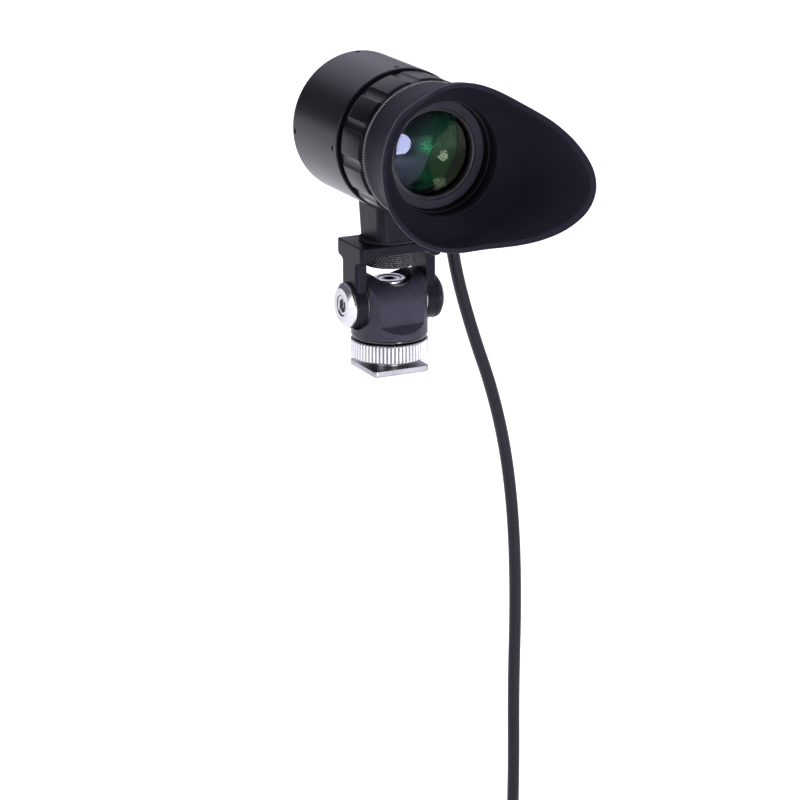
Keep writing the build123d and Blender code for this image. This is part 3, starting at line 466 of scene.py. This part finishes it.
ring_front, ring_back = extent("focus_ring", 1)
ring_radius = extent("focus_ring", 0)[1]
ring_bore = 18.65
ring_lip = 16.45
ring_lip_thick = 1.9
ring_chamfer = 0.8
ring_highlight_band = 0.3
ring_highlight_fade = 0.06
flutes = 12
flute_steps = 60
flute_turn = math.radians(98.5)
flute_cutter = 4.2
flute_deep = 0.55
ring_corners = [
    (ring_bore, ring_back), (ring_radius, ring_back), (ring_radius, ring_front + ring_chamfer),
    (ring_radius - ring_chamfer, ring_front), (ring_lip, ring_front),
    (ring_lip, ring_front + ring_lip_thick), (ring_bore, ring_front + ring_lip_thick)]
ring_breaks = [0.1, 0.25, 0.15, 0.15, 0.1, 0.1, 0.1]
ring_outline = rounded(ring_corners, ring_breaks)
ring_turn = full_turn(flutes * flute_steps)
flute_pitch = 2 * np.pi / flutes
off_flute = (ring_turn - flute_turn + flute_pitch / 2) % flute_pitch - flute_pitch / 2
cutter_centre = ring_radius - flute_deep + flute_cutter
cutter_reach = np.clip(flute_cutter ** 2 - (cutter_centre * np.sin(off_flute)) ** 2, 0, None)
flute_floor = cutter_centre * np.cos(off_flute) - np.sqrt(cutter_reach)
flute_floor = np.where(cutter_reach > 0, flute_floor, ring_radius)
ring_side = np.minimum(ring_outline[:, :1], flute_floor)
focus_ring = skin("focus_ring_fluted", about_eye(ring_turn, ring_side, ring_outline[:, 1:]))
grip_black = finish(
    "grip black", (0.004, 0.004, 0.0055), 0.26, 2600, 0.01, drift=0.15, patch=60.0, extra=matt)
# Painted highlight: a thin band at the ring's outer rear edge is painted light, as on the tube's front
# edge.
painted_light_rings(grip_black, (0, ring_back, eye_height), across_eye, [
    (0, 1), (ring_radius - ring_highlight_band - ring_highlight_fade, 1),
    (ring_radius - ring_highlight_band, painted_edge_highlight), (ring_radius, painted_edge_highlight)], (0, -1, 0))
fit(focus_ring, grip_black, "focus_ring", "focus_ring")
dress(nickel, "snap_ring", "guide_pins")

# Beaded ring: a turned ring in front of the focus ring, with a row of small round beads rolled
# into its rim. It is glued to the lens barrel.
bead_front, bead_back = extent("beaded_ring", 1)
bead_radius = extent("beaded_ring", 0)[1]
bead_bore = 16.42
bead_chamfer = 0.35
bead_break = 0.15
bead_land = 0.4
bead_rows = 12
bead_row_end = 0.6
beads = 160
bead_steps = 10
bead_deep = 0.32
bead_half = 0.75
bead_fullness = 0.7
bead_corners = [
    (bead_bore, bead_back), (bead_radius - bead_chamfer, bead_back),
    (bead_radius, bead_back - bead_chamfer), (bead_radius, bead_front + bead_chamfer),
    (bead_radius - bead_chamfer, bead_front), (bead_bore, bead_front)]
bead_back_half, bead_front_half = np.split(rounded(bead_corners, bead_break), 2)
bead_run = np.linspace(bead_back - bead_row_end, bead_front + bead_row_end, bead_rows)
bead_flat = np.stack([np.full(bead_rows, bead_radius), bead_run], axis=-1)
bead_outline = np.vstack([bead_back_half, bead_flat, bead_front_half])
bead_turn = full_turn(beads * bead_steps)
bead_middle = (bead_front + bead_back) / 2
bead_across = np.clip(1 - ((bead_outline[:, 1:] - bead_middle) / bead_half) ** 2, 0, 1)
bead_round = np.sqrt(bead_across) * np.abs(np.cos(beads * bead_turn / 2)) ** bead_fullness
on_rim = bead_outline[:, :1] > bead_radius - bead_land
bead_rim = bead_outline[:, :1] - bead_deep * on_rim * (1 - bead_round)
beaded_ring = skin("beaded_ring_rolled", about_eye(bead_turn, bead_rim, bead_outline[:, 1:]))
bead_black = finish("bead black", (0.16, 0.16, 0.18), 0.2, 2000, 0.004, drift=0.1)
# Painted glints and shade: the tips of the beads are painted light and the gaps between them dark.
painted_light_rings(bead_black, (0, 0, eye_height), across_eye, [
    (0, 0.04), (bead_radius - 0.2, 0.04), (bead_radius - 0.04, 1), (bead_radius, 1)])
fit(beaded_ring, bead_black, "lens_cell", "beaded_ring")


# Lens cell: a turned black barrel with two coated glass lenses and a spacer between them, and
# the ring on its front that the eyecup snaps over. The coatings answer light in green.
def coated_glass(name, film, film_index, tint, rough):
    """Clear glass with a film of that many nanometres and that index, a body tint that drifts
    by a few hundredths, and a roughness."""
    material = bpy.data.materials.new(name)
    material.use_nodes = True
    tree = material.node_tree
    place = add_node(tree, "TexCoord", {}).outputs["Object"]
    haze = add_node(tree, "TexNoise", {"Scale": 40.0, "Vector": place})
    ramp = add_node(tree, "ValToRGB", {"Fac": haze.outputs["Fac"]})
    ramp.color_ramp.elements[0].color = [c * 0.96 for c in tint] + [1]
    ramp.color_ramp.elements[1].color = list(tint) + [1]
    feed(tree, tree.nodes["Principled BSDF"], {
        "Transmission Weight": 1.0, "IOR": 1.52, "Thin Film Thickness": film,
        "Thin Film IOR": film_index, "Roughness": rough, "Base Color": ramp.outputs["Color"]})
    return material


cell_black = finish("cell black", (0.004, 0.004, 0.005), 0.5, 3000, 0.02, extra=dull)
barrel_satin = finish("barrel satin", (0.02, 0.02, 0.03), 0.45, 2600, 0.01, extra=dull)
dress(cell_black, "lens_spacer", "eyecup_mount")
dress(barrel_satin, "lens_barrel")
soften(0.12, "lens_barrel", "eyecup_mount")
dress(coated_glass("eye lens glass", 110.0, 1.38, (0.54, 0.85, 0.75), 0.01), "eye_lens")
dress(coated_glass("field lens glass", 345.0, 1.25, (0.25, 0.72, 0.58), 0.2), "field_lens")
weld("eye_lens")
weld("field_lens")

# Retaining ring: a turned grey ring with a bevelled bore and a narrow groove round its front
# face, screwed into the barrel over the eye lens.
holder_front, holder_back = extent("retaining_ring", 1)
holder_radius = extent("retaining_ring", 0)[1]
holder_wide = 1.11
holder_bevel = 0.35
holder_break = 0.06
holder_steps = 360
groove_deep = 0.3
groove_wide = 0.3
groove_flank = 0.12
holder_bore = holder_radius - holder_wide
groove_floor = holder_front + groove_deep
groove_in = holder_radius - groove_wide
holder_corners = [
    (holder_bore, holder_back), (holder_radius, holder_back), (holder_radius, groove_floor),
    (groove_in, groove_floor), (groove_in - groove_flank, holder_front),
    (holder_bore + holder_bevel, holder_front), (holder_bore, holder_front + holder_bevel)]
holder_outline = rounded(holder_corners, holder_break)
retaining_ring = skin("retaining_ring_turned", about_eye(
    full_turn(holder_steps), holder_outline[:, :1], holder_outline[:, 1:]))
ring_grey = finish("ring grey", (0.02, 0.02, 0.026), 0.3, 2400, 0.006)
fit(retaining_ring, ring_grey, "lens_cell", "retaining_ring")

# Eyecup: soft black moulded rubber in one piece. A round neck snaps over the mount's lip, the
# wall flares to an egg-shaped section, and on one side it runs on into a long lobe that shuts
# out light at the temple. The rim is a curved line square to the lobe.
cup_back = extent("eyecup", 1)[1]
cup_neck = 20.4
cup_size = 25.0
cup_wall = 1.5
cup_edge = 0.3
cup_plateau = -50.0
cup_reach = 32.2
cup_throat = 17.3
cup_throat_front = -37.95
cup_groove_front = -33.35
cup_groove_back = -31.85
cup_lip_bore = 19.05
cup_mount_bore = 18.35
cup_round = 0.25
cup_ease = 0.15
cup_steps = 360
cup_rows = 70
lip_rows = 4
rim_tries = 40
lobe_turn = math.radians(-5.4)
section_turns = np.radians([-25, 0, 25, 45, 62, 80, 100, 130, 180, 230])
section_radii = cup_size * np.array(
    [0.931, 0.966, 0.931, 0.911, 0.901, 0.949, 0.997, 1.026, 1.019, 1.026])
flare_ways = np.array([0, 0.2, 0.4, 0.62, 0.86, 1.0, 1.2, 1.5, 1.9, 2.35, 2.8])
flare_shares = np.array([0, 0, 0.12, 0.36, 0.88, 1.0, 1.143, 1.284, 1.361, 1.334, 1.236])
bowl_ways = np.array([0, 0.32, 0.68, 1.0])
bowl_shares = np.array([0, 0.48, 0.86, 1.0])
rim_line_x = cup_size * np.array(
    [-1.06, -0.905, -0.723, -0.347, 0.0, 0.247, 0.464, 0.668, 0.835, 0.959, 1.016, 1.08])
rim_line_y = cup_plateau - cup_reach * np.array(
    [-0.62, -0.243, -0.022, 0.026, 0.071, 0.17, 0.443, 0.651, 0.842, 0.97, 1.0, 1.02])


def smooth_curve(x, known_x, known_y):
    """Curve through known points: between two of them a cubic whose slopes are the mean
    slopes of the neighbours, so that it has no corner."""
    slope = np.gradient(known_y, known_x)
    here = np.clip(np.searchsorted(known_x, x) - 1, 0, len(known_x) - 2)
    width = known_x[here + 1] - known_x[here]
    t = (x - known_x[here]) / width
    return ((1 + 2 * t) * (1 - t) ** 2 * known_y[here] + t * (1 - t) ** 2 * width * slope[here]
            + t ** 2 * (3 - 2 * t) * known_y[here + 1] + t ** 2 * (t - 1) * width * slope[here + 1])


def wall_radius(along, inset):
    """Radius of the flared wall at y, less an inset, for the whole turn."""
    flare = smooth_curve((cup_back - along) / (cup_back - cup_plateau), flare_ways, flare_shares)
    return cup_neck + flare * (cup_section - cup_neck) - inset


def bowl_radius(along):
    """Radius of the hollow: a bowl from the throat to the plateau, and the wall beyond it."""
    way = np.clip((cup_throat_front - along) / (cup_throat_front - cup_plateau), 0, 1)
    share = smooth_curve(way, bowl_ways, bowl_shares)
    inner = cup_throat + share * (cup_section - cup_wall - cup_throat)
    return np.where(along > cup_plateau, inner, wall_radius(along, cup_wall))


def rim_at(inset):
    """y of the rim where the wall's surface at that inset meets the rim line, found by tries
    that go half the way each time."""
    rim = np.full_like(cup_off, cup_plateau)
    for go in range(rim_tries):
        line = smooth_curve(wall_radius(rim, inset) * np.cos(cup_off), rim_line_x, rim_line_y)
        rim = (rim + line) / 2
    return rim


def corner_bend(side_r, side_y, tip_r, tip_y, flat_r, flat_y):
    """Three rows that round the edge between a side and the flat of the rim: a parabola from
    one to the other, drawn towards the tip."""
    t = np.array([0.25, 0.5, 0.75])[:, None]
    return ((1 - t) ** 2 * side_r + 2 * t * (1 - t) * tip_r + t ** 2 * flat_r,
            (1 - t) ** 2 * side_y + 2 * t * (1 - t) * tip_y + t ** 2 * flat_y)


cup_turn = full_turn(cup_steps)
cup_off = (cup_turn - lobe_turn + np.pi) % (2 * np.pi) - np.pi
cup_section = smooth_curve(np.abs(cup_off), section_turns, section_radii)
cup_down = np.linspace(0, 1, cup_rows)[:, None]
edge_out = rim_at(0)
edge_in = rim_at(cup_wall)
outer_y = cup_back + (edge_out + cup_edge - cup_back) * cup_down
outer_r = wall_radius(outer_y, 0)
inner_y = edge_in + cup_edge + (cup_throat_front - edge_in - cup_edge) * cup_down
inner_r = bowl_radius(inner_y)
lip_share = np.linspace(cup_edge / cup_wall, 1 - cup_edge / cup_wall, lip_rows)[:, None]
lip_y = edge_out + (edge_in - edge_out) * lip_share
lip_r = wall_radius(edge_out, 0) - cup_wall * lip_share
out_r, out_y = corner_bend(
    outer_r[-1:], outer_y[-1:], wall_radius(edge_out, 0), edge_out, lip_r[:1], lip_y[:1])
in_r, in_y = corner_bend(
    lip_r[-1:], lip_y[-1:], wall_radius(edge_in, cup_wall), edge_in, inner_r[:1], inner_y[:1])
throat = np.array([
    (cup_throat - cup_ease, cup_throat_front + 0.2 * cup_round),
    (cup_throat - cup_round, cup_throat_front + cup_round),
    (cup_throat - cup_round, cup_groove_front - 0.8 * cup_round),
    (cup_throat, cup_groove_front), (cup_lip_bore, cup_groove_front),
    (cup_lip_bore, cup_groove_back), (cup_mount_bore, cup_groove_back),
    (cup_mount_bore, cup_back - cup_ease), (cup_mount_bore + cup_ease, cup_back),
    (cup_neck - cup_round, cup_back)])
throat_r = np.broadcast_to(throat[:, :1], (len(throat), cup_steps))
throat_y = np.broadcast_to(throat[:, 1:], (len(throat), cup_steps))
cup_r = np.vstack([outer_r, out_r, lip_r, in_r, inner_r, throat_r])
cup_y = np.vstack([outer_y, out_y, lip_y, in_y, inner_y, throat_y])
eyecup = skin("eyecup_moulded", about_eye(cup_turn, cup_r, cup_y))
cup_rubber = finish(
    "eyecup rubber", (0.0165, 0.016, 0.0245), 0.5, 5200, 0.02, drift=0.12, patch=50.0,
    extra=sheen(0.04))
# Painted highlight: the outer corner of the rim is painted lighter, most on the left where the light
# falls, fading out towards the right.
rim_highlight_colour = (0.08, 0.08, 0.1, 1)
rim_highlight_share = np.zeros_like(cup_r)
rim_highlight_share[cup_rows:cup_rows + len(out_r)] = 0.35 - 0.65 * np.cos(cup_turn)
rim_highlight_mark = eyecup.data.attributes.new("edge", "FLOAT", "POINT")
rim_highlight_mark.data.foreach_set("value", np.clip(rim_highlight_share, 0, 1).ravel())
cup_tree = cup_rubber.node_tree
rim_highlight_read = add_node(cup_tree, "Attribute", {})
rim_highlight_read.attribute_name = "edge"
cup_tint = cup_tree.nodes["tint"].outputs["Color"]
feed(cup_tree, cup_tree.nodes["Principled BSDF"], {
    "Base Color": mixed(cup_tree, rim_highlight_read.outputs["Fac"], cup_tint, rim_highlight_colour)})
fit(eyecup, cup_rubber, "eyecup", "eyecup")

# Display: a small panel in a black frame behind a black cone, lit from behind, with its driver
# board on brass pillars and a folded film cable. It is all inside the tube.
baffle_black = finish("baffle black", (0.006, 0.006, 0.006), 0.8, 2500, 0.03)
panel_glass = finish("panel glass", (0.012, 0.02, 0.02), 0.08, 400, 0.001)
light_guide = finish("light guide", (0.85, 0.85, 0.83), 0.3, 500, 0.004, drift=0.04)
board_green = finish("board green", (0.02, 0.13, 0.06), 0.35, 1800, 0.01)
film_orange = finish("film cable", (0.55, 0.26, 0.05), 0.3, 1200, 0.004)
pillar_brass = finish("pillar brass", (0.75, 0.56, 0.27), 0.25, 900, 0.004, metallic=1.0)
dress(baffle_black, "light_baffle", "panel_frame")
dress(panel_glass, "display_panel")
dress(light_guide, "backlight", "lead_connector", "plug_tongue")
dress(board_green, "driver_board")
dress(film_orange, "ribbon_cable")
dress(pillar_brass, "board_pillars")

# Lead: a round black jacketed cable that leaves the tube through a moulded gland, bends down
# under its own weight and hangs beside the bracket.
cord_points = np.array([
    (19.247, 12.3, 53.553), (22.78, 12.3, 50.02), (25.25, 12.4, 45.60), (26.80, 12.7, 40.50),
    (27.75, 13.2, 32.70), (30.90, 14.0, 19.20), (36.75, 15.1, 1.40), (43.90, 16.3, -17.00),
    (49.60, 17.4, -38.50), (53.00, 18.1, -63.00), (54.40, 18.9, -91.00), (54.10, 19.5, -121.00),
    (54.60, 19.7, -151.00), (54.30, 20.1, -178.00), (54.50, 20.3, -198.00)]) * mm
cord_radius = 2.0 * mm
cord_line = bpy.data.curves.new("cord_jacketed", "CURVE")
cord_line.dimensions = "3D"
cord_line.bevel_depth = cord_radius
cord_line.bevel_resolution = 8
cord_line.resolution_u = 12
cord_line.use_fill_caps = True
route = cord_line.splines.new("NURBS")
route.points.add(len(cord_points) - 1)
route.points.foreach_set("co", np.hstack([cord_points, np.ones((len(cord_points), 1))]).ravel())
route.order_u = 3
route.use_endpoint_u = True
cord = bpy.data.objects.new("cord_jacketed", cord_line)
bpy.context.scene.collection.objects.link(cord)
jacket = finish("cord jacket", (0.008, 0.008, 0.01), 0.38, 1600, 0.02, drift=0.15, extra=dull)
moulded = finish("moulded black", (0.014, 0.014, 0.017), 0.5, 2600, 0.04, extra=dull)
fit(cord, jacket, "head", "cord")
dress(moulded, "cable_gland", "plug_body")
dress(jacket, "lead_tail")
soften(0.3, "cable_gland")
soften(0.6, "plug_body")

# Boot and plug: the cable ends in a ribbed rubber boot on a moulded grip, and a plated shell
# with a white tongue.
boot_length = 11.0
boot_tip = 2.6
boot_big = 3.4
boot_rows = 80
boot_steps = 64
boot_ribs = 4
rib_deep = 0.45
rib_flank = 1.6
rib_crest = 0.4
plain_tip = 0.06
plain_end = 0.97
plug_ahead = cord_points[-1] - cord_points[-2]
plug_ahead = plug_ahead / np.linalg.norm(plug_ahead)
plug_side = np.cross(plug_ahead, (0.0, 1.0, 0.0))
plug_side = plug_side / np.linalg.norm(plug_side)
plug_depth = np.cross(plug_side, plug_ahead)
boot_share = np.concatenate([[0], np.linspace(0, 1, boot_rows), [1]])[:, None]
boot_groove = np.clip(rib_flank * np.cos(2 * np.pi * boot_ribs * boot_share) - rib_crest, 0, 1)
boot_ribbed = (boot_share > plain_tip) * (boot_share < plain_end)
boot_r = boot_tip + (boot_big - boot_tip) * boot_share - rib_deep * boot_groove * boot_ribbed
boot_r[0] = boot_r[-1] = 0
boot_turn = full_turn(boot_steps)[:, :, None]
boot_across = plug_side * np.cos(boot_turn) + plug_depth * np.sin(boot_turn)
boot_points = (cord_points[-1] / mm + boot_length * boot_share[:, :, None] * plug_ahead
               + boot_r[:, :, None] * boot_across)
plug_boot = skin("plug_boot_ribbed", boot_points, round_u=False)
fit(plug_boot, jacket, "head", "plug_boot")
dress(nickel, "plug_shell")

# Stage: a wide pale floor well below the hanging plug, white to the eye and to reflections, in a
# room that is bright above and behind on the right and dim elsewhere, with broad soft lamps.
floor_half = 12.0
floor_drop = 12 * mm
floor_glow = 0.62
floor_z = cad_box[0].z - floor_drop
floor_mesh = bpy.data.meshes.new("floor")
floor_mesh.from_pydata(
    [(x, y, floor_z) for x, y in ((-floor_half, -floor_half), (floor_half, -floor_half),
                                  (floor_half, floor_half), (-floor_half, floor_half))],
    [], [(0, 1, 2, 3)])
floor = bpy.data.objects.new("floor", floor_mesh)
bpy.context.scene.collection.objects.link(floor)


def seen_directly(tree, rays):
    """1 for what the eye sees, straight or through glass, and 0 for what only lights pieces."""
    return add_node(tree, "Math", {
        0: rays["Is Camera Ray"], 1: rays["Is Transmission Ray"]}, "MAXIMUM").outputs["Value"]


pale = bpy.data.materials.new("pale floor")
pale.use_nodes = True
floor_tree = pale.node_tree
floor_tree.nodes.remove(floor_tree.nodes["Principled BSDF"])
floor_rays = add_node(floor_tree, "LightPath", {}).outputs
mirrored = add_node(floor_tree, "Math", {
    0: seen_directly(floor_tree, floor_rays), 1: floor_rays["Is Glossy Ray"]}, "MAXIMUM")
lift = add_node(floor_tree, "Math", {0: mirrored.outputs["Value"], 1: floor_glow}, "MULTIPLY")
chalk = add_node(floor_tree, "BsdfDiffuse", {"Color": (0.85, 0.85, 0.86, 1)})
glow = add_node(floor_tree, "Emission", {"Strength": lift.outputs["Value"]})
both = add_node(floor_tree, "AddShader", {0: chalk.outputs["BSDF"], 1: glow.outputs["Emission"]})
feed(floor_tree, floor_tree.nodes["Material Output"], {"Surface": both.outputs["Shader"]})
floor_mesh.materials.append(pale)


def lamp(name, place, aim, size, watts, colour=(1.0, 1.0, 1.0), shape="SQUARE"):
    """Soft lamp at a place in metres, turned to face the aim."""
    light = bpy.data.lights.new(name, "AREA")
    light.shape = shape
    light.size = size
    light.energy = watts
    light.color = colour
    holder = bpy.data.objects.new(name, light)
    holder.location = place
    holder.rotation_mode = "QUATERNION"
    holder.rotation_quaternion = (Vector(place) - Vector(aim)).to_track_quat("Z", "Y")
    bpy.context.scene.collection.objects.link(holder)


subject = (0.0, -0.01, 0.06)
lamp("top lamp", (0.1, 0.25, 1.3), subject, 1.0, 8.0)
lamp("left lamp", (-1.4, -0.36, 0.35), subject, 0.8, 6.0)
lamp("front lamp", (0.3, -1.2, 0.9), subject, 0.6, 6.0, (0.96, 0.96, 1.0))
lamp("low lamp", (0.1, -1.41, -0.05), subject, 0.32, 10.0, (0.98, 0.96, 1.0), "DISK")
bright_side = (0.35, 0.3, 0.88)
cool_light = (0.86, 0.83, 1.0, 1)
white = (1.0, 1.0, 1.0, 1)
world = bpy.data.worlds.new("studio")
bpy.context.scene.world = world
world.use_nodes = True
room = world.node_tree
direction = add_node(room, "TexCoord", {}).outputs["Generated"]
towards = add_node(room, "VectorMath", {0: direction, 1: bright_side}, "DOT_PRODUCT")
sky = add_node(room, "MapRange", {
    "Value": towards.outputs["Value"], "From Min": 0.42, "From Max": 0.72,
    "To Min": 0.2, "To Max": 1.25})
sky.interpolation_type = "SMOOTHSTEP"
room_seen = seen_directly(room, add_node(room, "LightPath", {}).outputs)
level = add_node(room, "Mix", {"Factor": room_seen, "A": sky.outputs["Result"], "B": 1.0})
feed(room, room.nodes["Background"], {
    "Color": mixed(room, room_seen, cool_light, white), "Strength": level.outputs["Result"]})
bpy.context.scene.view_settings.view_transform = "Standard"
